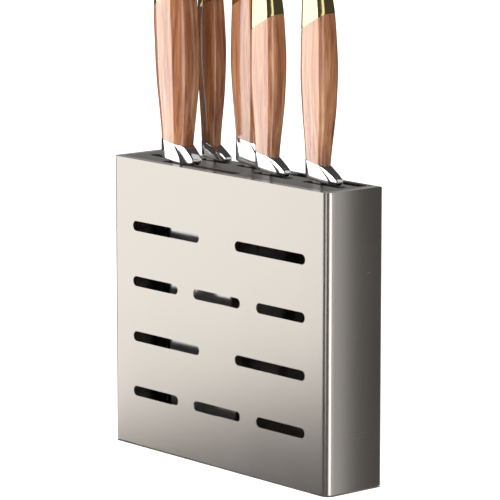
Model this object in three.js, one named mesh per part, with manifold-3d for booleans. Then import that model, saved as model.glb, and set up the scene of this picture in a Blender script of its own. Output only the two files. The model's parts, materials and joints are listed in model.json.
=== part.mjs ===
// Butcher's knife set: a sheet-metal upright rack with a slotted top, holding a wide meat cleaver
// and four knives by their bolsters, blades down.
// Millimetres, +Z up. Origin: centre of the rack's footprint, on the surface it stands on.
// The perforated front faces -Y; the knives' spines point to -X and their edges to +X.

import * as THREE from 'three';
import { mergeVertices } from 'three/addons/utils/BufferGeometryUtils.js';
import Module from 'manifold-3d';

const wasm = await Module();
wasm.setup();

// ---------------------------------------------------------------- driving dimensions

const RACK_W = 240;
const RACK_D = 52;
const RACK_H = 216;
const SHEET = 1.2;
const FRONT_R = 6;
const REAR_R = 2.5;
const FOOT_GAP = 1.2;
const GAP = 0.3;

// Perforated front: rows of stadium slots, two long ones and three short ones in turn.
const ROW_TOP = 166.3;
const ROW_PITCH = 41.5;
const ROWS = 4;
const PERF_H = 7.5;
const LONG_SPANS = [[-96, -20], [20, 96]];
const SHORT_SPANS = [[-96.2, -44.3], [-26.6, 25.7], [43.6, 95.8]];

// Folded rim of the top and of the back, and the plates that close them.
const TOP_RIM = 6;
const TOP_RIM_REAR = 4;
const TOP_WINDOW_R = 4;
const TOP_HEM = 9; // depth of the hem folded down round the window
const TOP_HEM_T = 1;
const BACK_RIM = 11;
const BACK_LAP = 7;
const SCREW_INSET = 6.5;
const SCREW_HEAD_R = 2.8;
const SCREW_SHANK_R = 1.5;
const SCREW_LENGTH = 5;

// Inside: slotted plastic guide under the top plate, corner posts and a drained base.
const GUIDE_T = 12;
const POST = 6;
const POST_MARGIN = 1.2;
const BASE_Z = 2.8;
const FOOT_R = 5;
const BLADE_SLOT_W = 7.6;
const GUIDE_SLOT_W = 7.6;

// Blade slots in the top, [x from, x to, y of the centre line, own width]: five in use, two free.
const BLADE_SLOTS = [
  [-73, 10, -14],
  [-64, -32, 13],
  [-21.5, 30.5, 13],
  [12.5, 52, -0.5],
  [66.5, 107.5, -0.5],
  [-104, -80, -0.5],
  [36, 110.5, 15.4, 10],
];

// Knife handles: largest half width along X, half thickness along Y, and the shares of these
// that the profile reaches at each height over the top plate, with the sideways bow in X.
const SLIM_PROFILE = [
  [0, 0.68, 0], [15, 0.68, 0], [26, 0.73, 0.2], [37, 0.81, 0.5], [58, 0.94, 0.9], [80, 1, 0.9],
  [100, 0.955, 0.3], [118, 0.88, -0.7], [133, 0.79, -2], [146, 0.73, -3], [160, 0.7, -3.4],
];
const BROAD_PROFILE = [
  [0, 0.73, 0], [18, 0.73, 0], [28, 0.78, 0.2], [40, 0.85, 0.4], [60, 0.96, 0.5],
  [78, 1, 0.1], [100, 1, -1], [120, 0.955, -2.5], [140, 0.87, -4], [156, 0.79, -4.8],
  [166, 0.77, -5],
];
const JOINT_SLOPE = -0.17;
const CAP_SLOPE = 0.5;
const CAP_TOP_SLOPE = 0.2;
const CAP_LENGTH = 30;
const FOOT_SLOPE = -0.1;
const TANG_W = 8;
const TANG_T = 2.6;

// One entry per knife. x and y: handle axis; flat and side: shares of the half width and of the half
// thickness that the broad and the narrow faces of the eight-sided handle take; bolster and wood:
// heights of the two joints over the top plate, on the spine side; toe: how far the bolster's foot
// runs past its neck, to the heel; blade: stations [z, spine x, edge x] from the tip up; spine: its
// thickness.
const KNIVES = [
  {
    name: 'cleaver', x: -58.4, y: -14, halfW: 18.4, halfT: 12, flat: 0.44, side: 0.52,
    profile: BROAD_PROFILE, bolster: 18.3, wood: 113, toe: 9.4, spine: 3.2,
    blade: [
      [-188, 3, 57.6], [-187, -1, 61.6], [-184, -5.5, 64], [-178, -8, 65.2],
      [-170, -8.4, 65.4], [-90, -8.4, 61.2], [-8, -8.4, 59.2], [-3, -8.4, 58.4],
      [-1, -8.4, 56.6],
    ],
  },
  {
    name: 'boning_knife', x: -52.4, y: 13, halfW: 11.4, halfT: 6.8, flat: 0.6, side: 0.66,
    profile: SLIM_PROFILE, bolster: 14.5, wood: 110, toe: 12.5, spine: 2.6,
    blade: [
      [-140, -4.4, -3.4], [-134, -5.6, 0], [-120, -6.8, 4.4], [-95, -7.3, 8],
      [-55, -7.3, 10.6], [-15, -7.3, 14], [-1, -7.3, 17],
    ],
  },
  {
    name: 'chef_knife', x: -9.4, y: 13, halfW: 16, halfT: 8.3, flat: 0.65, side: 0.62,
    profile: SLIM_PROFILE, bolster: 22, wood: 115, toe: 12, spine: 2.8,
    blade: [
      [-190, -3.4, -2.2], [-184, -4.8, 3.2], [-165, -7.8, 14.6], [-130, -10, 25.4],
      [-85, -10.2, 31.6], [-40, -10.2, 34.4], [-6, -10.2, 35], [-1, -10.2, 34],
    ],
  },
  {
    name: 'slicer', x: 26.2, y: -0.5, halfW: 15, halfT: 7.8, flat: 0.62, side: 0.57,
    profile: SLIM_PROFILE, bolster: 16.5, wood: 102, toe: 12.2, spine: 2.6,
    blade: [
      [-171, -7, -6], [-166, -7.8, 0.4], [-156, -8.8, 8], [-138, -9.8, 14.8],
      [-96, -10, 18], [-54, -10, 19.6], [-20, -10, 20.8], [-1, -10, 21.8],
    ],
  },
  {
    name: 'carving_knife', x: 80.6, y: -0.5, halfW: 15.2, halfT: 7.9, flat: 0.62, side: 0.57,
    profile: SLIM_PROFILE, bolster: 16.7, wood: 107, toe: 13.2, spine: 2.6,
    blade: [
      [-152, -6.4, -5.2], [-147, -7.4, 0.6], [-135, -9, 7.6], [-110, -10.2, 14.4],
      [-70, -10.2, 18.6], [-30, -10.2, 21.4], [-1, -10.2, 23.2],
    ],
  },
];

// ---------------------------------------------------------------- materials

function material(color, roughness, metalness) {
  return new THREE.MeshStandardMaterial({ color, roughness, metalness });
}

const satinSteel = () => material(0xb9b1a8, 0.34, 1);
const bladeSteel = () => material(0xc9ccd0, 0.24, 1);
const bolsterSteel = () => material(0xe2e2e0, 0.1, 1);
const gildedCap = () => material(0xd9b878, 0.16, 1);
const wood = () => material(0xa85f3f, 0.45, 0);
const blackPlastic = () => material(0x17171a, 0.55, 0);
const blackRubber = () => material(0x101012, 0.85, 0);

// ---------------------------------------------------------------- solids

function toSolid(geometry) {
  const bare = geometry.clone();
  bare.deleteAttribute('normal');
  bare.deleteAttribute('uv');
  const merged = mergeVertices(bare, 1e-4);
  return new wasm.Manifold(new wasm.Mesh({
    numProp: 3,
    vertProperties: new Float32Array(merged.attributes.position.array),
    triVerts: new Uint32Array(merged.index.array),
  }));
}

function toGeometry(solid) {
  const mesh = solid.getMesh();
  const geometry = new THREE.BufferGeometry();
  geometry.setAttribute('position', new THREE.BufferAttribute(mesh.vertProperties, 3));
  geometry.setIndex(new THREE.BufferAttribute(mesh.triVerts, 1));
  geometry.computeVertexNormals();
  return geometry;
}

function addPart(parent, name, solid, mat) {
  const mesh = new THREE.Mesh(toGeometry(solid), mat);
  mesh.name = name;
  parent.add(mesh);
  return mesh;
}

// Rectangle with its own radius at the low-y and the high-y corners.
function roundedShape(x0, y0, x1, y1, lowR, highR) {
  const shape = new THREE.Shape();
  shape.moveTo(x0 + lowR, y0);
  shape.lineTo(x1 - lowR, y0);
  shape.absarc(x1 - lowR, y0 + lowR, lowR, -Math.PI / 2, 0, false);
  shape.lineTo(x1, y1 - highR);
  shape.absarc(x1 - highR, y1 - highR, highR, 0, Math.PI / 2, false);
  shape.lineTo(x0 + highR, y1);
  shape.absarc(x0 + highR, y1 - highR, highR, Math.PI / 2, Math.PI, false);
  shape.lineTo(x0, y0 + lowR);
  shape.absarc(x0 + lowR, y0 + lowR, lowR, Math.PI, 1.5 * Math.PI, false);
  return shape;
}

// Upright prism of a shape drawn in the XY plane, from z0 to z1.
function prismZ(shape, z0, z1, curveSegments = 5) {
  const geometry = new THREE.ExtrudeGeometry(shape, {
    depth: z1 - z0, bevelEnabled: false, curveSegments,
  });
  geometry.translate(0, 0, z0);
  return toSolid(geometry);
}

// Prism of a shape drawn in the XZ plane, running through y from y0 to y1.
function prismY(shape, y0, y1, curveSegments = 5) {
  const geometry = new THREE.ExtrudeGeometry(shape, {
    depth: y1 - y0, bevelEnabled: false, curveSegments,
  });
  geometry.rotateX(Math.PI / 2);
  geometry.translate(0, y1, 0);
  return toSolid(geometry);
}

// Prism of a shape drawn in the YZ plane, running through x from x0 to x1.
function prismX(shape, x0, x1, curveSegments = 5) {
  const geometry = new THREE.ExtrudeGeometry(shape, {
    depth: x1 - x0, bevelEnabled: false, curveSegments,
  });
  geometry.rotateY(Math.PI / 2);
  geometry.rotateX(Math.PI / 2);
  geometry.translate(x0, 0, 0);
  return toSolid(geometry);
}

function box(x0, y0, z0, x1, y1, z1) {
  const geometry = new THREE.BoxGeometry(x1 - x0, y1 - y0, z1 - z0);
  geometry.translate((x0 + x1) / 2, (y0 + y1) / 2, (z0 + z1) / 2);
  return toSolid(geometry);
}

// Rod along Y, its low end at y0.
function rodY(x, y0, z, radius, length, segments = 12) {
  const geometry = new THREE.CylinderGeometry(radius, radius, length, segments);
  geometry.translate(x, y0 + length / 2, z);
  return toSolid(geometry);
}

// Closed body through a stack of rings, each counter-clockwise seen from above, bottom ring first.
function loft(rings) {
  const count = rings[0].length;
  const positions = [];
  const index = [];
  for (const ring of rings) {
    for (const point of ring) {
      positions.push(point.x, point.y, point.z);
    }
  }
  for (let level = 0; level < rings.length - 1; level += 1) {
    for (let k = 0; k < count; k += 1) {
      const a = level * count + k;
      const b = level * count + ((k + 1) % count);
      index.push(a, b, b + count, a, b + count, a + count);
    }
  }
  const top = (rings.length - 1) * count;
  for (let k = 1; k < count - 1; k += 1) {
    index.push(0, k + 1, k);
    index.push(top, top + k, top + k + 1);
  }
  const geometry = new THREE.BufferGeometry();
  geometry.setAttribute('position', new THREE.Float32BufferAttribute(positions, 3));
  geometry.setIndex(index);
  return toSolid(geometry);
}

// ---------------------------------------------------------------- rack

function rackOutline(inset) {
  return roundedShape(
    -RACK_W / 2 + inset, -RACK_D / 2 + inset, RACK_W / 2 - inset, RACK_D / 2 - inset,
    FRONT_R - inset, Math.max(REAR_R - inset, 0.6),
  );
}

function perforations() {
  const cutters = [];
  for (let row = 0; row < ROWS; row += 1) {
    const z = ROW_TOP - row * ROW_PITCH;
    const spans = row % 2 === 0 ? LONG_SPANS : SHORT_SPANS;
    for (const [x0, x1] of spans) {
      const half = PERF_H / 2 - 0.001;
      const slot = roundedShape(x0, z - PERF_H / 2, x1, z + PERF_H / 2, half, half);
      cutters.push(prismY(slot, -RACK_D / 2 - 1, -RACK_D / 2 + SHEET + 1, 4));
    }
  }
  return cutters;
}

function screwPlaces() {
  const places = [];
  for (const x of [-RACK_W / 2 + SCREW_INSET, RACK_W / 2 - SCREW_INSET]) {
    for (const z of [18, RACK_H / 2, RACK_H - 18]) {
      places.push([x, z]);
    }
  }
  return places;
}

function outerShell() {
  let shell = prismZ(rackOutline(0), FOOT_GAP, RACK_H, 6);
  const rounded = roundedShape(-RACK_D / 2 - 9, FOOT_GAP, RACK_D / 2, RACK_H, 0.5, REAR_R);
  shell = shell.intersect(prismX(rounded, -RACK_W / 2 - 1, RACK_W / 2 + 1));
  shell = shell.subtract(prismZ(rackOutline(SHEET), FOOT_GAP - 1, RACK_H - SHEET, 6));
  const window = roundedShape(
    -RACK_W / 2 + TOP_RIM, -RACK_D / 2 + TOP_RIM, RACK_W / 2 - TOP_RIM, RACK_D / 2 - TOP_RIM_REAR,
    TOP_WINDOW_R, TOP_WINDOW_R,
  );
  const hem = roundedShape(
    -RACK_W / 2 + TOP_RIM - TOP_HEM_T, -RACK_D / 2 + TOP_RIM - TOP_HEM_T,
    RACK_W / 2 - TOP_RIM + TOP_HEM_T, RACK_D / 2 - TOP_RIM_REAR + TOP_HEM_T,
    TOP_WINDOW_R + TOP_HEM_T, TOP_WINDOW_R + TOP_HEM_T,
  );
  shell = shell.add(prismZ(hem, RACK_H - SHEET - TOP_HEM, RACK_H - SHEET / 2));
  shell = shell.subtract(prismZ(window, RACK_H - SHEET - TOP_HEM - 1, RACK_H + 1));
  shell = shell.subtract(box(
    -RACK_W / 2 + BACK_RIM, RACK_D / 2 - SHEET - 1, FOOT_GAP + BACK_RIM,
    RACK_W / 2 - BACK_RIM, RACK_D / 2 + 1, RACK_H - BACK_RIM,
  ));
  for (const cutter of perforations()) {
    shell = shell.subtract(cutter);
  }
  for (const [x, z] of screwPlaces()) {
    shell = shell.subtract(rodY(x, RACK_D / 2 - SHEET - 1, z, SCREW_HEAD_R + GAP, SHEET + 2));
  }
  return shell;
}

function backPanel() {
  const y1 = RACK_D / 2 - SHEET - GAP;
  const reach = BACK_RIM - BACK_LAP;
  let panel = box(
    -RACK_W / 2 + reach, y1 - SHEET, FOOT_GAP + reach + 1,
    RACK_W / 2 - reach, y1, RACK_H - reach - 1,
  );
  for (const [x, z] of screwPlaces()) {
    panel = panel.subtract(rodY(x, y1 - SHEET - 1, z, SCREW_SHANK_R + GAP, SHEET + 2));
  }
  return panel;
}

// Flat-headed screw lying along Y, its head flush with the back.
function backScrew(x, z) {
  const head = rodY(x, RACK_D / 2 - 1.1, z, SCREW_HEAD_R, 1.1);
  const shank = rodY(x, RACK_D / 2 - SCREW_LENGTH, z, SCREW_SHANK_R, SCREW_LENGTH - 0.5);
  return head.add(shank);
}

function cutBladeSlots(solid, width, z0, z1) {
  let cut = solid;
  for (const [x0, x1, y, own = width] of BLADE_SLOTS) {
    const r = Math.min(own / 2 - 0.001, 3);
    const slot = roundedShape(x0, y - own / 2, x1, y + own / 2, r, r);
    cut = cut.subtract(prismZ(slot, z0 - 1, z1 + 1, 2));
  }
  return cut;
}

function topPlate() {
  const outline = roundedShape(
    -RACK_W / 2 + TOP_RIM + GAP, -RACK_D / 2 + TOP_RIM + GAP,
    RACK_W / 2 - TOP_RIM - GAP, RACK_D / 2 - TOP_RIM_REAR - GAP,
    TOP_WINDOW_R - GAP, TOP_WINDOW_R - GAP,
  );
  const plate = prismZ(outline, RACK_H - SHEET, RACK_H);
  return cutBladeSlots(plate, BLADE_SLOT_W, RACK_H - SHEET, RACK_H);
}

function bladeGuide() {
  const z1 = RACK_H - SHEET - GAP;
  const outline = roundedShape(
    -RACK_W / 2 + TOP_RIM + GAP, -RACK_D / 2 + TOP_RIM + GAP,
    RACK_W / 2 - TOP_RIM - GAP, RACK_D / 2 - TOP_RIM_REAR - GAP,
    TOP_WINDOW_R - GAP, TOP_WINDOW_R - GAP,
  );
  const slab = prismZ(outline, z1 - GUIDE_T, z1);
  return cutBladeSlots(slab, GUIDE_SLOT_W, z1 - GUIDE_T, z1);
}

function cornerPost(xSide, ySide) {
  const x = xSide * (RACK_W / 2 - SHEET - POST_MARGIN - POST / 2);
  const y = ySide < 0 ? -RACK_D / 2 + SHEET + POST_MARGIN + POST / 2 : RACK_D / 2 - 7 - POST / 2;
  const z0 = BASE_Z + SHEET + GAP;
  const z1 = RACK_H - SHEET - GUIDE_T - 2 * GAP;
  const half = POST / 2;
  return prismZ(roundedShape(x - half, y - half, x + half, y + half, 1.5, 1.5), z0, z1, 2);
}

function basePanel() {
  const inset = SHEET + GAP;
  const outline = roundedShape(
    -RACK_W / 2 + inset, -RACK_D / 2 + inset, RACK_W / 2 - inset, RACK_D / 2 - inset,
    FRONT_R - inset, 1,
  );
  let panel = prismZ(outline, BASE_Z, BASE_Z + SHEET);
  for (const x of [-75, -25, 25, 75]) {
    const drain = roundedShape(x - 16, -3, x + 16, 3, 2.999, 2.999);
    panel = panel.subtract(prismZ(drain, BASE_Z - 1, BASE_Z + SHEET + 1, 3));
  }
  return panel;
}

function foot() {
  const top = BASE_Z - GAP;
  const profile = [
    new THREE.Vector2(0, 0),
    new THREE.Vector2(FOOT_R - 0.6, 0),
    new THREE.Vector2(FOOT_R, 0.6),
    new THREE.Vector2(FOOT_R, top),
    new THREE.Vector2(0, top),
  ];
  const geometry = new THREE.LatheGeometry(profile, 16);
  geometry.rotateX(Math.PI / 2);
  return toSolid(geometry);
}

// ---------------------------------------------------------------- knives

function profileAt(profile, z) {
  let k = 0;
  while (k < profile.length - 2 && z > profile[k + 1][0]) {
    k += 1;
  }
  const [z0, s0, b0] = profile[k];
  const [z1, s1, b1] = profile[k + 1];
  const t = THREE.MathUtils.clamp((z - z0) / (z1 - z0), 0, 1);
  return { share: s0 + (s1 - s0) * t, bow: b0 + (b1 - b0) * t };
}

// Eight-sided ring with softened corners, half sizes a by b, centred at cx, lying in the plane
// z + slope * (x - cx).
function octagonRing(knife, cx, a, b, z, slope) {
  const { flat, side } = knife;
  const corners = [
    [a, -side * b], [a, side * b], [flat * a, b], [-flat * a, b],
    [-a, side * b], [-a, -side * b], [-flat * a, -b], [flat * a, -b],
  ].map(([x, y]) => new THREE.Vector2(x, y));
  const ring = [];
  corners.forEach((corner, k) => {
    const before = corners[(k + 7) % 8];
    const after = corners[(k + 1) % 8];
    for (const other of [before, after]) {
      const reach = Math.min(0.2, 1.6 / corner.distanceTo(other));
      const p = corner.clone().lerp(other, reach);
      ring.push(new THREE.Vector3(cx + p.x, p.y, z + slope * p.x));
    }
  });
  return ring;
}

function handleRing(knife, z, slope, shrink = 1) {
  const { share, bow } = profileAt(knife.profile, z);
  const size = share * shrink;
  return octagonRing(knife, bow, knife.halfW * size, knife.halfT * size, z, slope);
}

// Mean height of a joint whose height is given on the spine side.
function meanHeight(knife, spineHeight, slope) {
  const { share } = profileAt(knife.profile, spineHeight);
  return spineHeight + slope * knife.halfW * share;
}

function tang(knife, z0, z1, clearance) {
  const w = TANG_W / 2 + clearance;
  const t = TANG_T / 2 + clearance;
  return box(-w, -t, z0, w, t, z1);
}

function bladeSolid(knife) {
  const rings = knife.blade.map(([z, spineX, edgeX], k) => {
    const slim = Math.min(1, 0.45 + 0.55 * (k / 4));
    const back = (knife.spine / 2) * slim;
    const waist = back * 0.8;
    const edge = 0.2;
    const waistX = spineX + 0.6 * (edgeX - spineX);
    return [
      new THREE.Vector3(spineX, -back, z),
      new THREE.Vector3(waistX, -waist, z),
      new THREE.Vector3(edgeX, -edge, z),
      new THREE.Vector3(edgeX, edge, z),
      new THREE.Vector3(waistX, waist, z),
      new THREE.Vector3(spineX, back, z),
    ];
  });
  const capJoint = meanHeight(knife, knife.wood, CAP_SLOPE);
  return loft(rings).add(tang(knife, -3, capJoint + 6, 0));
}

function bolsterSolid(knife) {
  const joint = meanHeight(knife, knife.bolster, JOINT_SLOPE);
  const neck = profileAt(knife.profile, knife.bolster).share;
  const a = knife.halfW * neck;
  const b = knife.halfT * neck;
  // Share of the height, of the toe's reach and of the thickness at each ring, and its slope.
  const rings = [
    [0, 0.84, 0.9, FOOT_SLOPE], [0.1, 0.96, 1.04, FOOT_SLOPE], [0.26, 1, 1.06, FOOT_SLOPE],
    [0.5, 0.78, 1.06, -0.12], [0.8, 0.34, 1.04, -0.15], [1, 0, 1, JOINT_SLOPE],
  ].map(([t, flare, thick, slope]) => {
    const reach = knife.toe * flare;
    const half = a + reach / 2;
    const low = GAP - FOOT_SLOPE * (a + knife.toe / 2);
    const z = low + (joint - low) * t;
    return octagonRing(knife, reach / 2, half, b * thick, z, slope);
  });
  return loft(rings).subtract(tang(knife, -2, joint + 5, GAP));
}

function woodSolid(knife) {
  const low = meanHeight(knife, knife.bolster, JOINT_SLOPE) + GAP;
  const high = meanHeight(knife, knife.wood, CAP_SLOPE);
  const rings = [];
  const steps = 8;
  for (let k = 0; k <= steps; k += 1) {
    const t = k / steps;
    const slope = JOINT_SLOPE + (CAP_SLOPE - JOINT_SLOPE) * t ** 2;
    rings.push(handleRing(knife, low + (high - low) * t, slope));
  }
  return loft(rings).subtract(tang(knife, low - 10, high + 20, GAP));
}

function capSolid(knife) {
  const low = meanHeight(knife, knife.wood, CAP_SLOPE) + GAP;
  const rings = [
    [0, 1], [0.35, 1], [0.68, 0.98], [0.86, 0.88], [0.96, 0.7], [1, 0.46],
  ].map(([t, shrink]) => {
    const slope = CAP_SLOPE + (CAP_TOP_SLOPE - CAP_SLOPE) * t;
    return handleRing(knife, low + CAP_LENGTH * t, slope, shrink);
  });
  return loft(rings).subtract(tang(knife, low - 10, low + 8, GAP));
}

function knifeGroup(knife) {
  const group = new THREE.Group();
  group.name = knife.name;
  group.position.set(knife.x, knife.y, RACK_H);
  addPart(group, `${knife.name}_blade`, bladeSolid(knife), bladeSteel());
  addPart(group, `${knife.name}_bolster`, bolsterSolid(knife), bolsterSteel());
  addPart(group, `${knife.name}_grip`, woodSolid(knife), wood());
  addPart(group, `${knife.name}_cap`, capSolid(knife), gildedCap());
  return group;
}

// ---------------------------------------------------------------- assembly

const group = new THREE.Group();
group.name = 'butcher_knife_set';

const rack = new THREE.Group();
rack.name = 'rack';
addPart(rack, 'outer_shell', outerShell(), satinSteel());
addPart(rack, 'back_panel', backPanel(), satinSteel());
screwPlaces().forEach(([x, z], k) => {
  addPart(rack, `back_screw_${k + 1}`, backScrew(x, z), bladeSteel());
});
addPart(rack, 'top_plate', topPlate(), satinSteel());
addPart(rack, 'blade_guide', bladeGuide(), blackPlastic());
addPart(rack, 'base_panel', basePanel(), satinSteel());
for (const [label, xSide, ySide] of [
  ['front_left', -1, -1], ['front_right', 1, -1], ['rear_left', -1, 1], ['rear_right', 1, 1],
]) {
  addPart(rack, `post_${label}`, cornerPost(xSide, ySide), blackPlastic());
  const pad = addPart(rack, `foot_${label}`, foot(), blackRubber());
  pad.position.set(xSide * (RACK_W / 2 - 14), ySide * (RACK_D / 2 - 8), 0);
}
group.add(rack);

for (const knife of KNIVES) {
  group.add(knifeGroup(knife));
}

export default group;
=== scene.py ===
"""Looks of the butcher's knife set: a satin steel rack holding a meat cleaver and four knives.

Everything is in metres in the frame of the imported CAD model: +Z up, the slotted front faces -Y.
"""
import json
import math

import bmesh
import bpy
import numpy as np
from mathutils import Euler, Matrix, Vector

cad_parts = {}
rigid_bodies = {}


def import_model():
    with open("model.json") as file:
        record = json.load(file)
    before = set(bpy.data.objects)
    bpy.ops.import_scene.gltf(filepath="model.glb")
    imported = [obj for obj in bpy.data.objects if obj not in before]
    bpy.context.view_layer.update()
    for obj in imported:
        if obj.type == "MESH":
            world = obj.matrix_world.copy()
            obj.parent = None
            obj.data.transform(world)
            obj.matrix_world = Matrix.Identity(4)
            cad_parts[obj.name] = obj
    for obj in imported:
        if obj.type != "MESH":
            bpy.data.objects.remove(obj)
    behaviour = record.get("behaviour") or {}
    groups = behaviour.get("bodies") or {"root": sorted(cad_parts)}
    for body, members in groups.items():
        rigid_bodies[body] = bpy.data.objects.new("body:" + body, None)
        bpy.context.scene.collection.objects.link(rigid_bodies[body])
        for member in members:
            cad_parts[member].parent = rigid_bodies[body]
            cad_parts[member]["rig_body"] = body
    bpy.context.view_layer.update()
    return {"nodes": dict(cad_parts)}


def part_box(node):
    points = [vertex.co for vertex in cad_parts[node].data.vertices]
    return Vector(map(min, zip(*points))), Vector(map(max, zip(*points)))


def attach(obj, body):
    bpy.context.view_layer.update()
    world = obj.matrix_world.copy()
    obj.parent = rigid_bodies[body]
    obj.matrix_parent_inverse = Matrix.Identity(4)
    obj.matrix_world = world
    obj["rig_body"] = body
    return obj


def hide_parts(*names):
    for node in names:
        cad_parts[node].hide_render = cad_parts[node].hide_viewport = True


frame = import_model()
NODES = frame["nodes"]
MM = 0.001

# ---------------------------------------------------------------- camera, lights and floor

VIEW_YAW = 49.422
VIEW_PITCH = 10.0
VIEW_PLACE = (1.8606, -1.5879, 0.5889)
LENS = 247.1


def add_camera():
    data = bpy.data.cameras.new("studio_camera")
    data.sensor_width = 36.0
    data.lens = LENS
    data.clip_end = 60.0
    camera = bpy.data.objects.new("studio_camera", data)
    camera.location = VIEW_PLACE
    camera.rotation_euler = Euler((math.radians(90 - VIEW_PITCH), 0, math.radians(VIEW_YAW)))
    bpy.context.scene.collection.objects.link(camera)
    bpy.context.scene.camera = camera


def around(azimuth, distance, height):
    """Point at an angle round the rack from its front, counted towards +X."""
    a = math.radians(azimuth)
    return Vector((math.sin(a) * distance, -math.cos(a) * distance, height))


def softbox(name, place, target, size, radiance, color):
    """Rectangular light of that width, height and radiance, facing the target."""
    data = bpy.data.lights.new(name, "AREA")
    data.shape = "RECTANGLE"
    data.size, data.size_y = size
    data.energy = radiance * math.pi * size[0] * size[1]
    data.color = color
    light = bpy.data.objects.new(name, data)
    light.location = place
    aim = (Vector(target) - Vector(place)).normalized()
    light.rotation_euler = aim.to_track_quat("-Z", "Y").to_euler()
    light.visible_camera = False
    bpy.context.scene.collection.objects.link(light)
    return light


def add_world():
    world = bpy.data.worlds.new("studio")
    world.use_nodes = True
    back = world.node_tree.nodes["Background"]
    back.inputs["Color"].default_value = (0.062, 0.06, 0.058, 1)
    back.inputs["Strength"].default_value = 1.0
    bpy.context.scene.world = world


def panel(name, group, near, azimuth, distance, span, heights, radiance, color, roll=0):
    """Upright softbox that lights one group of pieces.

    It spans those azimuths, in degrees, and those heights as seen from the point near.
    """
    low, high = (math.radians(a - azimuth) for a in span)
    left, right = distance * math.tan(low), distance * math.tan(high)
    a = math.radians(azimuth)
    ahead = Vector((math.sin(a), -math.cos(a), 0))
    across = Vector((math.cos(a), math.sin(a), 0))
    foot = Vector((near[0], near[1], 0))
    middle = foot + ahead * distance + across * (left + right) / 2
    middle.z = (heights[0] + heights[1]) / 2
    size = (right - left, heights[1] - heights[0])
    light = softbox(name, middle, middle - ahead, size, radiance, color)
    light.rotation_euler.rotate_axis("Z", math.radians(roll))
    light_only(light, group)
    return light


RACK_CORNER = (0.117, -0.023)
CENTRE = (0.0, 0.0)
WARM = (1.0, 0.985, 0.965)
COOL = (1.0, 1.0, 1.0)


def light_only(light, group):
    light.light_linking.receiver_collection = group


def add_rack_lights(rack):
    panel("rack_left", rack, RACK_CORNER, -60, 0.9, (-84, -32), (-0.147, 0.5), 1.24, WARM, 6)
    panel("rack_front", rack, RACK_CORNER, 10, 0.9, (4, 17), (-0.115, 0.5), 1.3, WARM)
    panel("rack_right", rack, RACK_CORNER, 72, 0.9, (56, 88), (-0.6, 0.5), 1.9, WARM)
    panel("rack_side", rack, RACK_CORNER, 113, 0.131, (95, 133), (-0.25, 0.4), 0.5, COOL)
    panel("rack_rear", rack, CENTRE, -135, 0.5, (-150, -85), (0.15, 0.75), 0.27, COOL)
    # These three are for the views from above and behind.
    below = softbox("rack_below", (0.2, -1.0, -1.3), (0.1, 0, 0.1), (2.4, 1.4), 0.7, WARM)
    light_only(below, rack)
    panel("rack_back", rack, CENTRE, 182, 0.9, (154, 212), (-0.9, 1.2), 0.7, WARM)
    panel("rack_left_low", rack, CENTRE, -122, 0.9, (-150, -95), (-1.1, -0.1), 0.6, WARM)


def add_handle_lights(wood, open_wood):
    """The knife behind the cleaver stands out of the light from the left and above."""
    panel("wood_left", open_wood, CENTRE, -50, 0.95, (-84, -30), (-0.7, 1.3), 2.8, WARM)
    panel("wood_front", wood, CENTRE, 13, 1.1, (9, 17), (-0.4, 1.3), 1.75, WARM)
    panel("wood_right", wood, CENTRE, 72, 1.1, (60, 84), (-0.4, 1.3), 0.18, WARM)
    high = softbox("wood_high", around(-20, 0.9, 1.0), (0, 0, 0.24), (0.9, 0.5), 1.6, WARM)
    light_only(high, open_wood)


def add_fitting_lights(open_metal, caps, bolsters):
    panel("metal_left", open_metal, CENTRE, -50, 0.95, (-84, -32), (-0.7, 1.3), 2.3, WARM)
    panel("cap_front", caps, CENTRE, 17, 1.1, (11, 24), (-0.6, 0.9), 1.1, WARM)
    panel("bolster_front", bolsters, CENTRE, 20, 0.75, (-6, 50), (-0.6, 2.4), 1.9, WARM)
    panel("bolster_high", bolsters, CENTRE, 10, 0.75, (-30, 50), (0.8, 2.4), 1.9, WARM)
    panel("bolster_rear", bolsters, CENTRE, 140, 0.8, (105, 172), (0.0, 1.5), 0.6, COOL)


def add_blade_lights(blades, slim_blades, cleaver, ground):
    left = (-84, -32)
    panel("blade_front", blades, CENTRE, 30, 0.9, (0, 60), (-0.3, 0.6), 1.2, WARM)
    panel("blade_left", slim_blades, CENTRE, -50, 0.95, left, (-0.7, 1.3), 0.8, WARM)
    # The rack and the knives don't shade this one, so the cleaver shows behind the rack's slots.
    face = panel("cleaver_face", cleaver, CENTRE, -50, 0.95, (-75, -32), (-0.7, 0.6), 0.7, WARM)
    face.light_linking.blocker_collection = ground
    panel("cleaver_left", cleaver, CENTRE, -50, 0.95, left, (-0.7, 1.3), 0.5, WARM)


def add_floor_light(ground):
    """Even light that only reaches the floor and casts no shadow."""
    data = bpy.data.lights.new("floor_fill", "SUN")
    data.energy = 5.0
    data.cycles.cast_shadow = False
    sun = bpy.data.objects.new("floor_fill", data)
    light_only(sun, ground)
    bpy.context.scene.collection.objects.link(sun)


def group_of(name, objects):
    group = bpy.data.collections.new(name)
    for obj in objects:
        group.objects.link(obj)
    return group


# ---------------------------------------------------------------- node materials


def new_material(name):
    material = bpy.data.materials.new(name)
    material.use_nodes = True
    tree = material.node_tree
    return material, tree, tree.nodes["Principled BSDF"]


def add_node(tree, kind, **values):
    node = tree.nodes.new(kind)
    for key, value in values.items():
        if key in node.inputs:
            node.inputs[key].default_value = value
        else:
            setattr(node, key, value)
    return node


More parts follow.
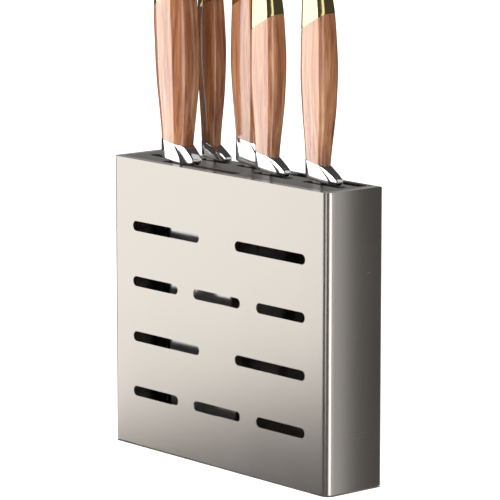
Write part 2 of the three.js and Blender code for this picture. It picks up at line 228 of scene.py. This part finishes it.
def stretched_noise(tree, scale, detail=4.0, roughness=0.55, distortion=0.0, offset=(0, 0, 0)):
    """Noise in the frame's coordinates, with its own scale along X, Y and Z, in cycles a metre."""
    coords = add_node(tree, "ShaderNodeTexCoord")
    mapping = add_node(tree, "ShaderNodeMapping")
    mapping.inputs["Scale"].default_value = scale
    mapping.inputs["Location"].default_value = offset
    noise = add_node(tree, "ShaderNodeTexNoise")
    noise.inputs["Scale"].default_value = 1.0
    noise.inputs["Detail"].default_value = detail
    noise.inputs["Roughness"].default_value = roughness
    noise.inputs["Distortion"].default_value = distortion
    tree.links.new(coords.outputs["Object"], mapping.inputs["Vector"])
    tree.links.new(mapping.outputs["Vector"], noise.inputs["Vector"])
    return noise.outputs["Fac"]


def map_range(tree, value, low, high, to_low, to_high):
    node = add_node(tree, "ShaderNodeMapRange")
    node.inputs["From Min"].default_value = low
    node.inputs["From Max"].default_value = high
    node.inputs["To Min"].default_value = to_low
    node.inputs["To Max"].default_value = to_high
    tree.links.new(value, node.inputs["Value"])
    return node.outputs["Result"]


def math_node(tree, operation, a, b):
    node = add_node(tree, "ShaderNodeMath")
    node.operation = operation
    for socket, value in zip(node.inputs, (a, b)):
        if isinstance(value, (int, float)):
            socket.default_value = value
        else:
            tree.links.new(value, socket)
    return node.outputs["Value"]


def color_ramp(tree, value, stops):
    ramp = add_node(tree, "ShaderNodeValToRGB")
    elements = ramp.color_ramp.elements
    while len(elements) < len(stops):
        elements.new(0.5)
    for element, (position, color) in zip(elements, stops):
        element.position = position
        element.color = (*color, 1)
    tree.links.new(value, ramp.inputs["Fac"])
    return ramp.outputs["Color"]


def add_bump(tree, shader, height, strength, distance):
    bump = add_node(tree, "ShaderNodeBump")
    bump.inputs["Strength"].default_value = strength
    bump.inputs["Distance"].default_value = distance
    tree.links.new(height, bump.inputs["Height"])
    tree.links.new(bump.outputs["Normal"], shader.inputs["Normal"])


def metal(name, dark, light, rough, brush_scale, bump, smudge=0.04):
    """Metal with fine brush lines, soft smudges in its gloss and a slight drift in its tone."""
    material, tree, shader = new_material(name)
    shader.inputs["Metallic"].default_value = 1.0
    brush = stretched_noise(tree, brush_scale, detail=3.0)
    cloud = stretched_noise(tree, (14, 14, 11), detail=3.0, offset=(3.1, 0.4, 1.7))
    tone = math_node(tree, "ADD", math_node(tree, "MULTIPLY", brush, 0.6),
                     math_node(tree, "MULTIPLY", cloud, 0.4))
    color = color_ramp(tree, tone, [(0.3, dark), (0.7, light)])
    tree.links.new(color, shader.inputs["Base Color"])
    gloss = math_node(tree, "ADD", map_range(tree, brush, 0.3, 0.7, rough[0], rough[1]),
                      map_range(tree, cloud, 0.35, 0.65, -smudge, smudge))
    tree.links.new(gloss, shader.inputs["Roughness"])
    add_bump(tree, shader, brush, bump, 0.00004)
    return material


def handle_wood():
    """Streaky reddish wood under a clear coat: broad wavy figure, fine streaks and dark pores."""
    material, tree, shader = new_material("handle_wood")
    figure = stretched_noise(tree, (120, 120, 9), detail=5.0, roughness=0.6, distortion=1.6)
    streak = stretched_noise(tree, (460, 460, 11), detail=4.0, roughness=0.65, distortion=0.4,
                             offset=(7, 2, 0))
    pore = stretched_noise(tree, (1500, 1500, 70), detail=2.0, roughness=0.5, offset=(1, 5, 3))
    tone = math_node(tree, "ADD", math_node(tree, "MULTIPLY", figure, 0.6),
                     math_node(tree, "MULTIPLY", streak, 0.4))
    color = color_ramp(tree, map_range(tree, tone, 0.37, 0.63, 0, 1), [
        (0.0, (0.230, 0.066, 0.026)), (0.28, (0.360, 0.120, 0.044)),
        (0.52, (0.480, 0.180, 0.066)), (0.78, (0.580, 0.260, 0.100)),
        (1.0, (0.680, 0.370, 0.160)),
    ])
    pores = map_range(tree, pore, 0.30, 0.42, 0.86, 1.0)
    mix = add_node(tree, "ShaderNodeMix")
    mix.data_type = "RGBA"
    mix.blend_type = "MULTIPLY"
    mix.inputs["Factor"].default_value = 1.0
    color_sockets = [socket for socket in mix.inputs if socket.type == "RGBA"]
    tree.links.new(color, color_sockets[0])
    tree.links.new(pores, color_sockets[1])
    result = [socket for socket in mix.outputs if socket.type == "RGBA"][0]
    tree.links.new(result, shader.inputs["Base Color"])
    tree.links.new(map_range(tree, streak, 0.3, 0.7, 0.45, 0.33), shader.inputs["Roughness"])
    shader.inputs["IOR"].default_value = 1.45
    shader.inputs["Coat Weight"].default_value = 1.0
    shader.inputs["Coat Roughness"].default_value = 0.1
    shader.inputs["Coat IOR"].default_value = 1.9
    add_bump(tree, shader, pore, 0.07, 0.00006)
    return material


def moulded(name, color, rough, grain=900):
    material, tree, shader = new_material(name)
    speck = stretched_noise(tree, (grain, grain, grain), detail=3.0)
    low = tuple(c * 0.75 for c in color)
    tree.links.new(color_ramp(tree, speck, [(0.3, low), (0.7, color)]),
                   shader.inputs["Base Color"])
    tree.links.new(map_range(tree, speck, 0.3, 0.7, rough - 0.06, rough + 0.06),
                   shader.inputs["Roughness"])
    add_bump(tree, shader, speck, 0.4, 0.0001)
    return material


def floor_material():
    material, tree, shader = new_material("studio_floor")
    cloud = stretched_noise(tree, (1.5, 1.5, 1.5), detail=2.0)
    tree.links.new(color_ramp(tree, cloud, [(0.3, (0.90, 0.90, 0.90)), (0.7, (0.93, 0.93, 0.93))]),
                   shader.inputs["Base Color"])
    shader.inputs["Roughness"].default_value = 0.9
    return material


SATIN = metal("satin_steel", (0.65, 0.61, 0.565), (0.665, 0.625, 0.58), (0.25, 0.265),
              (9, 9, 2600), 0.004, 0.01)
PLATE = metal("plate_steel", (0.36, 0.34, 0.315), (0.385, 0.365, 0.34), (0.38, 0.42),
              (9, 9, 2600), 0.004, 0.02)
BLADE = metal("blade_steel", (0.62, 0.62, 0.63), (0.74, 0.74, 0.75), (0.16, 0.24),
              (30, 30, 2400), 0.2)
POLISHED = metal("bolster_steel", (0.80, 0.80, 0.80), (0.88, 0.88, 0.88), (0.06, 0.10),
                 (60, 60, 900), 0.05, 0.02)
GILT = metal("gilt_steel", (0.82, 0.70, 0.34), (0.88, 0.75, 0.38), (0.09, 0.14),
             (60, 60, 900), 0.05, 0.02)
SCREW = metal("screw_steel", (0.42, 0.42, 0.43), (0.55, 0.55, 0.56), (0.22, 0.3),
              (400, 400, 400), 0.15)
WOOD = handle_wood()
PLASTIC = moulded("guide_plastic", (0.022, 0.022, 0.024), 0.5)
RUBBER = moulded("foot_rubber", (0.02, 0.02, 0.02), 0.8, 1500)

# ---------------------------------------------------------------- meshes


def add_piece(name, mesh, body, material, node):
    """Visible piece that rides on a body and stands for one CAD node."""
    obj = bpy.data.objects.new(name, mesh)
    bpy.context.scene.collection.objects.link(obj)
    mesh.materials.clear()
    mesh.materials.append(material)
    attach(obj, body)
    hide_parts(node)
    return obj


def smooth(mesh, angle):
    mesh.shade_smooth()
    mesh.set_sharp_from_angle(angle=math.radians(angle))


def loft(name, stacks, angle):
    """Closed bodies, each through a stack of rings of points, counter-clockwise from above.

    Edges that turn by more than the angle, in degrees, stay sharp.
    """
    vertices = []
    faces = []
    for rings in stacks:
        base = len(vertices)
        count = len(rings[0])
        for ring in rings:
            vertices.extend(tuple(float(c) for c in point) for point in ring)
        for level in range(len(rings) - 1):
            low = base + level * count
            for k in range(count):
                after = (k + 1) % count
                faces.append((low + k, low + after, low + count + after, low + count + k))
        top = base + (len(rings) - 1) * count
        faces.append(tuple(base + k for k in reversed(range(count))))
        faces.append(tuple(top + k for k in range(count)))
    mesh = bpy.data.meshes.new(name)
    mesh.from_pydata(vertices, [], faces)
    mesh.validate()
    smooth(mesh, angle)
    return mesh


def curve_through(stations, value):
    """Smooth monotone curve through rows of (position, value, ...), evaluated at one position."""
    rows = np.array(stations, float)
    x = rows[:, 0]
    value = min(max(value, x[0]), x[-1])
    k = min(max(int(np.searchsorted(x, value)) - 1, 0), len(x) - 2)
    step = x[1:] - x[:-1]
    slope = (rows[1:, 1:] - rows[:-1, 1:]) / step[:, None]

    def tangent(i):
        if i == 0:
            return slope[0]
        if i == len(x) - 1:
            return slope[-1]
        a, b = slope[i - 1], slope[i]
        mean = 2 * a * b / np.where(np.abs(a + b) < 1e-12, 1, a + b)
        return np.where(a * b > 0, mean, 0.0)

    h = step[k]
    t = (value - x[k]) / h
    low, high = rows[k, 1:], rows[k + 1, 1:]
    return ((2 * t ** 3 - 3 * t ** 2 + 1) * low + (t ** 3 - 2 * t ** 2 + t) * h * tangent(k)
            + (3 * t ** 2 - 2 * t ** 3) * high + (t ** 3 - t ** 2) * h * tangent(k + 1))


def refined(node, name, material, width, segments):
    """Piece with the CAD node's shape, its coplanar faces joined and its edges rounded."""
    mesh = NODES[node].data.copy()
    mesh.name = name
    bm = bmesh.new()
    bm.from_mesh(mesh)
    bmesh.ops.remove_doubles(bm, verts=bm.verts, dist=1e-6)
    bmesh.ops.dissolve_limit(bm, angle_limit=math.radians(0.5), verts=bm.verts, edges=bm.edges)
    bm.to_mesh(mesh)
    bm.free()
    obj = add_piece(name, mesh, NODES[node]["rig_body"], material, node)
    bevel = obj.modifiers.new("edge", "BEVEL")
    bevel.width = width
    bevel.segments = segments
    bevel.limit_method = "ANGLE"
    bevel.angle_limit = math.radians(40)
    bevel.harden_normals = True
    smooth(mesh, 35)
    return obj


# ---------------------------------------------------------------- knives

# Rows up a handle, in millimetres: height, share of the largest size, shift along X.
SLIM_PROFILE = [
    (0, 0.68, 0), (15, 0.68, 0), (26, 0.73, 0.2), (37, 0.81, 0.5), (58, 0.94, 0.9),
    (80, 1, 0.9), (100, 0.955, 0.3), (118, 0.88, -0.7), (133, 0.79, -2), (146, 0.73, -3),
    (160, 0.7, -3.4),
]
BROAD_PROFILE = [
    (0, 0.73, 0), (18, 0.73, 0), (28, 0.78, 0.2), (40, 0.85, 0.4), (60, 0.96, 0.5),
    (78, 1, 0.1), (100, 1, -1), (120, 0.955, -2.5), (140, 0.87, -4), (156, 0.79, -4.8),
    (166, 0.77, -5),
]
# Slopes of the joints and of the foot along X, and the cap's length above its joint.
JOINT_SLOPE = -0.17
CAP_SLOPE = 0.5
CAP_TOP_SLOPE = 0.2
CAP_LENGTH = 30
FOOT_SLOPE = -0.1
SEAM = 0.12  # how far each ring at a joint is drawn in, which leaves a fine groove
FOOT_ROUNDING = 1.2
FOOT_CLEARANCE = 0.35  # under the bolster, above the top plate
# Rows up the bolster: share of its height, share of the toe's reach, share of the thickness, slope.
FLARE = [(0, 0.84, 0.9, FOOT_SLOPE), (0.1, 0.96, 1.04, FOOT_SLOPE), (0.26, 1, 1.06, FOOT_SLOPE),
         (0.5, 0.78, 1.06, -0.12), (0.8, 0.34, 1.04, -0.15), (1, 0, 1, JOINT_SLOPE)]

# Millimetres, as in the CAD model: half sizes of the grip, shares of its broad and narrow faces,
# heights of its two joints on the spine side, reach of the bolster's toe, thickness of the spine.
# The cleaver's grip is 0.3 thinner a side, so that its crowned face stays behind the rack's front.
KNIVES = {
    "cleaver": dict(half=(18.4, 11.7), faces=(0.44, 0.52), profile=BROAD_PROFILE,
                    joints=(18.3, 113), toe=9.4, spine=3.2),
    "boning_knife": dict(half=(11.4, 6.8), faces=(0.6, 0.66), profile=SLIM_PROFILE,
                         joints=(14.5, 110), toe=12.5, spine=2.6),
    "chef_knife": dict(half=(16, 8.3), faces=(0.65, 0.62), profile=SLIM_PROFILE,
                       joints=(22, 115), toe=12, spine=2.8),
    "slicer": dict(half=(15, 7.8), faces=(0.62, 0.57), profile=SLIM_PROFILE,
                   joints=(16.5, 102), toe=12.2, spine=2.6),
    "carving_knife": dict(half=(15.2, 7.9), faces=(0.62, 0.57), profile=SLIM_PROFILE,
                          joints=(16.7, 107), toe=13.2, spine=2.6),
}
PLATE_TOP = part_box("top_plate")[1].z
SHOULDER = PLATE_TOP - 0.0009  # where the blade ends and the narrower tang starts


def axis_of(name):
    """X and Y of a knife's axis: the middle of the tang, above the bolster."""
    above = [v.co for v in NODES[f"{name}_blade"].data.vertices if v.co.z > PLATE_TOP + 0.05]
    low = np.min(above, axis=0)
    high = np.max(above, axis=0)
    return (low[0] + high[0]) / 2, (low[1] + high[1]) / 2


def eight_sided(knife, cx, a, b, z, slope, crown=0.022, corner=1.7):
    """Ring of an eight-sided handle in millimetres: crowned faces that meet in soft corners."""
    flat, side = knife["faces"]
    corners = [np.array(c, float) for c in (
        (a, -side * b), (a, side * b), (flat * a, b), (-flat * a, b),
        (-a, side * b), (-a, -side * b), (-flat * a, -b), (flat * a, -b))]
    ring = []
    for k, point in enumerate(corners):
        before, after = corners[k - 1], corners[(k + 1) % 8]
        start = point + (before - point) * min(0.24, corner / np.linalg.norm(before - point))
        end = point + (after - point) * min(0.24, corner / np.linalg.norm(after - point))
        for t in (0.0, 0.25, 0.5, 0.75, 1.0):
            ring.append((1 - t) ** 2 * start + 2 * t * (1 - t) * point + t * t * end)
        far = corners[(k + 2) % 8]
        stop = after + (point - after) * min(0.24, corner / np.linalg.norm(after - point))
        along = stop - end
        normal = np.array([along[1], -along[0]]) / max(np.linalg.norm(along), 1e-9)
        for t in (0.2, 0.4, 0.6, 0.8):
            swell = crown * np.linalg.norm(along) * 4 * t * (1 - t)
            ring.append(end + along * t + normal * swell)
    return [((cx + p[0]) * MM, p[1] * MM, (z + slope * p[0]) * MM) for p in ring]


def moved(rings, place):
    """Rings given from a knife's axis and the plate's top, set in the frame."""
    return [[(x + place[0], y + place[1], z + PLATE_TOP) for x, y, z in ring] for ring in rings]


def mean_height(knife, spine_height, slope):
    """Height of a sloping joint on the knife's axis."""
    share = curve_through(knife["profile"], spine_height)[0]
    return spine_height + slope * knife["half"][0] * share


def grip_ring(knife, z, slope, shrink=1.0, inset=0.0):
    share, bow = curve_through(knife["profile"], z)
    a = knife["half"][0] * share * shrink - inset
    b = knife["half"][1] * share * shrink - inset
    return eight_sided(knife, bow, a, b, z, slope)


def bolster_rings(knife):
    """Rings up the bolster: rounded under the foot, flared to the toe, drawn in at the neck."""
    joint = mean_height(knife, knife["joints"][0], JOINT_SLOPE) + SEAM
    neck = curve_through(knife["profile"], knife["joints"][0])[0]
    a, b = knife["half"][0] * neck, knife["half"][1] * neck
    low = FOOT_CLEARANCE - FOOT_SLOPE * (a + knife["toe"] / 2)
    count = 32
    rings = []
    for k in range(count + 1):
        t = (k / count) ** 1.6
        flare, thick, slope = curve_through(FLARE, t)
        reach = knife["toe"] * flare
        z = low + (joint - low) * t
        left = max(0.0, FOOT_ROUNDING - (z - low))
        inset = FOOT_ROUNDING - math.sqrt(FOOT_ROUNDING ** 2 - left ** 2)
        if k == count:
            inset += SEAM
        half = a + reach / 2 - inset
        rings.append(eight_sided(knife, reach / 2, half, b * thick - inset, z, slope))
    return rings


def grip_rings(knife):
    low = mean_height(knife, knife["joints"][0], JOINT_SLOPE) + 0.15
    high = mean_height(knife, knife["joints"][1], CAP_SLOPE)
    rings = []
    count = 44
    for k in range(count + 1):
        t = k / count
        slope = JOINT_SLOPE + (CAP_SLOPE - JOINT_SLOPE) * t ** 2
        inset = SEAM if k in (0, count) else 0.0
        rings.append(grip_ring(knife, low + (high - low) * t, slope, inset=inset))
    return rings


def cap_rings(knife):
    low = mean_height(knife, knife["joints"][1], CAP_SLOPE) + 0.05
    rings = []
    count = 34
    for k in range(count + 1):
        t = k / count
        t = 1 - (1 - t) ** 1.6
        slope = CAP_SLOPE + (CAP_TOP_SLOPE - CAP_SLOPE) * t
        crown = max(0.0, (t - 0.55) / 0.45)
        shrink = max(0.06, (1 - crown ** 3.0) ** 0.42)
        inset = SEAM if k == 0 else 0.0
        rings.append(grip_ring(knife, low + (CAP_LENGTH - 0.3) * t, slope, shrink, inset))
    return rings


def blade_rings(name, knife, place):
    """Rings up the blade, from the CAD's outline: bevelled spine, flat grind and a fine edge."""
    node = NODES[f"{name}_blade"].data
    points = np.array([v.co for v in node.vertices], float)
    points = points[points[:, 2] < SHOULDER]
    outline = []
    for z in sorted(set(np.round(points[:, 2], 5))):
        level = points[np.abs(points[:, 2] - z) < 2e-5]
        outline.append((z, level[:, 0].min(), level[:, 0].max()))
    outline = [row for row in outline if row[2] - row[1] > 0.0005]
    bottom, top = outline[0][0], outline[-1][0]
    rings = []
    count = 90
    for k in range(count + 1):
        z = bottom + (top - bottom) * (k / count) ** 1.6
        spine_x, edge_x = curve_through(outline, z)
        width = edge_x - spine_x
        slim = min(1.0, 0.42 + 0.58 * (z - bottom) / (0.35 * (top - bottom)))
        back = knife["spine"] * 0.5 * MM * slim
        half = [(0.0, back * 0.45), (min(0.3 * MM, 0.05 * width), back * 0.72),
                (min(2.9 * MM, 0.3 * width), back),
                (0.55 * width, back * 0.86), (max(width - 1.3 * MM, 0.6 * width), back * 0.3),
                (width, 0.00006)]
        low_side = [(spine_x + x, place[1] - y, z) for x, y in half]
        high_side = [(spine_x + x, place[1] + y, z) for x, y in reversed(half)]
        rings.append(low_side + high_side)
    return rings


def tang_rings(name, knife, place):
    """Flat tang from the blade's shoulder up into the cap."""
    above = [v.co.z for v in NODES[f"{name}_blade"].data.vertices]
    corners = ((4, -1.3), (4, 1.3), (-4, 1.3), (-4, -1.3))
    return [[(place[0] + x * MM, place[1] + y * MM, z) for x, y in corners]
            for z in (SHOULDER, max(above))]


def make_knife(name):
    knife = KNIVES[name]
    place = axis_of(name)
    pieces = [
        ("bolster", bolster_rings(knife), "bolster_steel", POLISHED, "shoe"),
        ("grip", grip_rings(knife), "handle_wood", WOOD, "handle"),
        ("cap", cap_rings(knife), "gilt_steel", GILT, "pommel"),
    ]
    made = []
    for node, rings, slot, material, label in pieces:
        mesh = loft(f"{name}_{label}", [moved(rings, place)], 40)
        made.append(add_piece(f"{name}_{label}", mesh, name, material, f"{name}_{node}"))
    stacks = [blade_rings(name, knife, place), tang_rings(name, knife, place)]
    mesh = loft(f"{name}_ground_blade", stacks, 6)
    made.append(add_piece(f"{name}_ground_blade", mesh, name, BLADE,
                          f"{name}_blade"))
    return made


# ---------------------------------------------------------------- rack


def make_rack():
    pieces = [
        refined("outer_shell", "satin_shell", SATIN, 0.0004, 3),
        refined("top_plate", "slotted_plate", PLATE, 0.0003, 2),
        refined("back_panel", "back_cover", SATIN, 0.0003, 2),
        refined("base_panel", "drained_base", SATIN, 0.0003, 2),
        refined("blade_guide", "moulded_guide", PLASTIC, 0.0005, 3),
    ]
    for node in sorted(NODES):
        if node.startswith("post_"):
            pieces.append(refined(node, f"moulded_{node}", PLASTIC, 0.0006, 3))
        elif node.startswith("back_screw_"):
            pieces.append(refined(node, f"turned_{node}", SCREW, 0.0003, 3))
        elif node.startswith("foot_"):
            pieces.append(refined(node, f"rubber_{node}", RUBBER, 0.0004, 3))
    return pieces


def add_floor():
    mesh = bpy.data.meshes.new("floor")
    half = 9.0
    mesh.from_pydata([(-half, -half, 0), (half, -half, 0), (half, half, 0), (-half, half, 0)],
                     [], [(0, 1, 2, 3)])
    floor = bpy.data.objects.new("floor", mesh)
    bpy.context.scene.collection.objects.link(floor)
    mesh.materials.append(floor_material())
    floor.visible_glossy = False
    floor.visible_shadow = False
    return floor


bpy.context.scene.view_settings.view_transform = "Standard"
add_camera()
add_world()
GROUND = add_floor()
RACK_PIECES = make_rack()
KNIFE_PIECES = [piece for knife_name in KNIVES for piece in make_knife(knife_name)]
GRIPS, SHOES, POMMELS, BLADES = (
    [piece for piece in KNIFE_PIECES if piece.name.endswith(label)]
    for label in ("handle", "shoe", "pommel", "blade"))


def of_knives(pieces, *names):
    return [piece for piece in pieces if piece.name.startswith(names)]


# The bolsters, the caps and three of the handles don't show up in reflections.
for mirrored in SHOES + POMMELS + of_knives(GRIPS, "chef", "slicer", "carving"):
    mirrored.visible_glossy = False

GROUND_GROUP = group_of("ground", [GROUND])
OPEN_NAMES = ("cleaver", "chef", "slicer", "carving")
SLIM_NAMES = ("boning", "chef", "slicer", "carving")
FRONT_CAPS = of_knives(POMMELS, "cleaver", "slicer", "carving")
add_rack_lights(group_of("rack", RACK_PIECES))
add_handle_lights(group_of("wood", GRIPS), group_of("open_wood", of_knives(GRIPS, *OPEN_NAMES)))
add_fitting_lights(group_of("open_metal", of_knives(SHOES, *OPEN_NAMES) + FRONT_CAPS),
                   group_of("caps", FRONT_CAPS), group_of("bolsters", SHOES))
add_blade_lights(group_of("blades", BLADES),
                 group_of("slim_blades", of_knives(BLADES, *SLIM_NAMES)),
                 group_of("cleaver_blade", of_knives(BLADES, "cleaver")), GROUND_GROUP)
add_floor_light(GROUND_GROUP)
